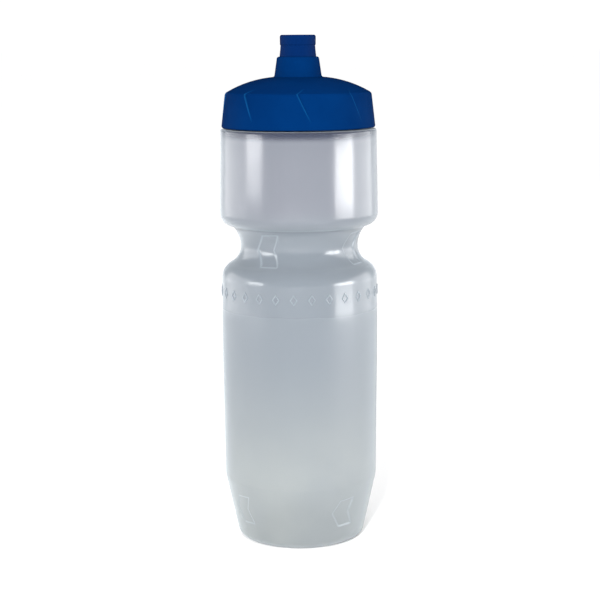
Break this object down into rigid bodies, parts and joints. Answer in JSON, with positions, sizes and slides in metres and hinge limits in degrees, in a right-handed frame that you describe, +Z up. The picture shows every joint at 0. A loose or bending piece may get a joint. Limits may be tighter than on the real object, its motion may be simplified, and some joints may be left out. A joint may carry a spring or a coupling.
{
  "type": "bicycle water bottle",
  "caption": "Squeezable cyclist's water bottle: translucent waisted body, screw cap with shingled panels and a push-pull drinking nozzle.",
  "frame": {"origin": "centre of the standing ring, on the floor plane", "axes": "+Z up along the bottle's axis, -Y towards the viewer, +X to the viewer's right"},
  "size_m": [0.074, 0.074, 0.2368],
  "materials": {
    "body_plastic": "milky, translucent, satin to glossy",
    "cap_plastic": "matte royal blue, finely textured",
    "nozzle_plastic": "matte blue, smooth",
    "nozzle_rubber": "soft matte blue",
    "seal_rubber": "matte pale grey",
    "valve_silicone": "translucent satin"
  },
  "bodies": {
    "bottle": {"bottle_body": "body_plastic"},
    "seal_carrier": {"cap_gasket": "seal_rubber"},
    "cap": {"cap": "cap_plastic", "tower_seal": "seal_rubber", "slit_valve": "valve_silicone", "valve_retainer": "nozzle_plastic"},
    "nozzle": {"nozzle_core": "nozzle_plastic", "bite_sleeve": "nozzle_rubber"}
  },
  "joints": [
    {"name": "cap_lift", "type": "slide", "parent": "bottle", "child": "seal_carrier", "axis": [0, 0, 1], "range_m": [0, 0.02]},
    {"name": "cap_unscrew", "type": "hinge", "parent": "seal_carrier", "child": "cap", "pos_m": [0, 0, 0.2], "axis": [0, 0, 1], "range_deg": [0, 1441]},
    {"name": "nozzle_pull", "type": "slide", "parent": "cap", "child": "nozzle", "axis": [0, 0, 1], "range_m": [0, 0.0065]}
  ],
  "couplings": [
    {"joint": "cap_unscrew", "follows": "cap_lift", "rad_per_m": 1256.6}
  ]
}
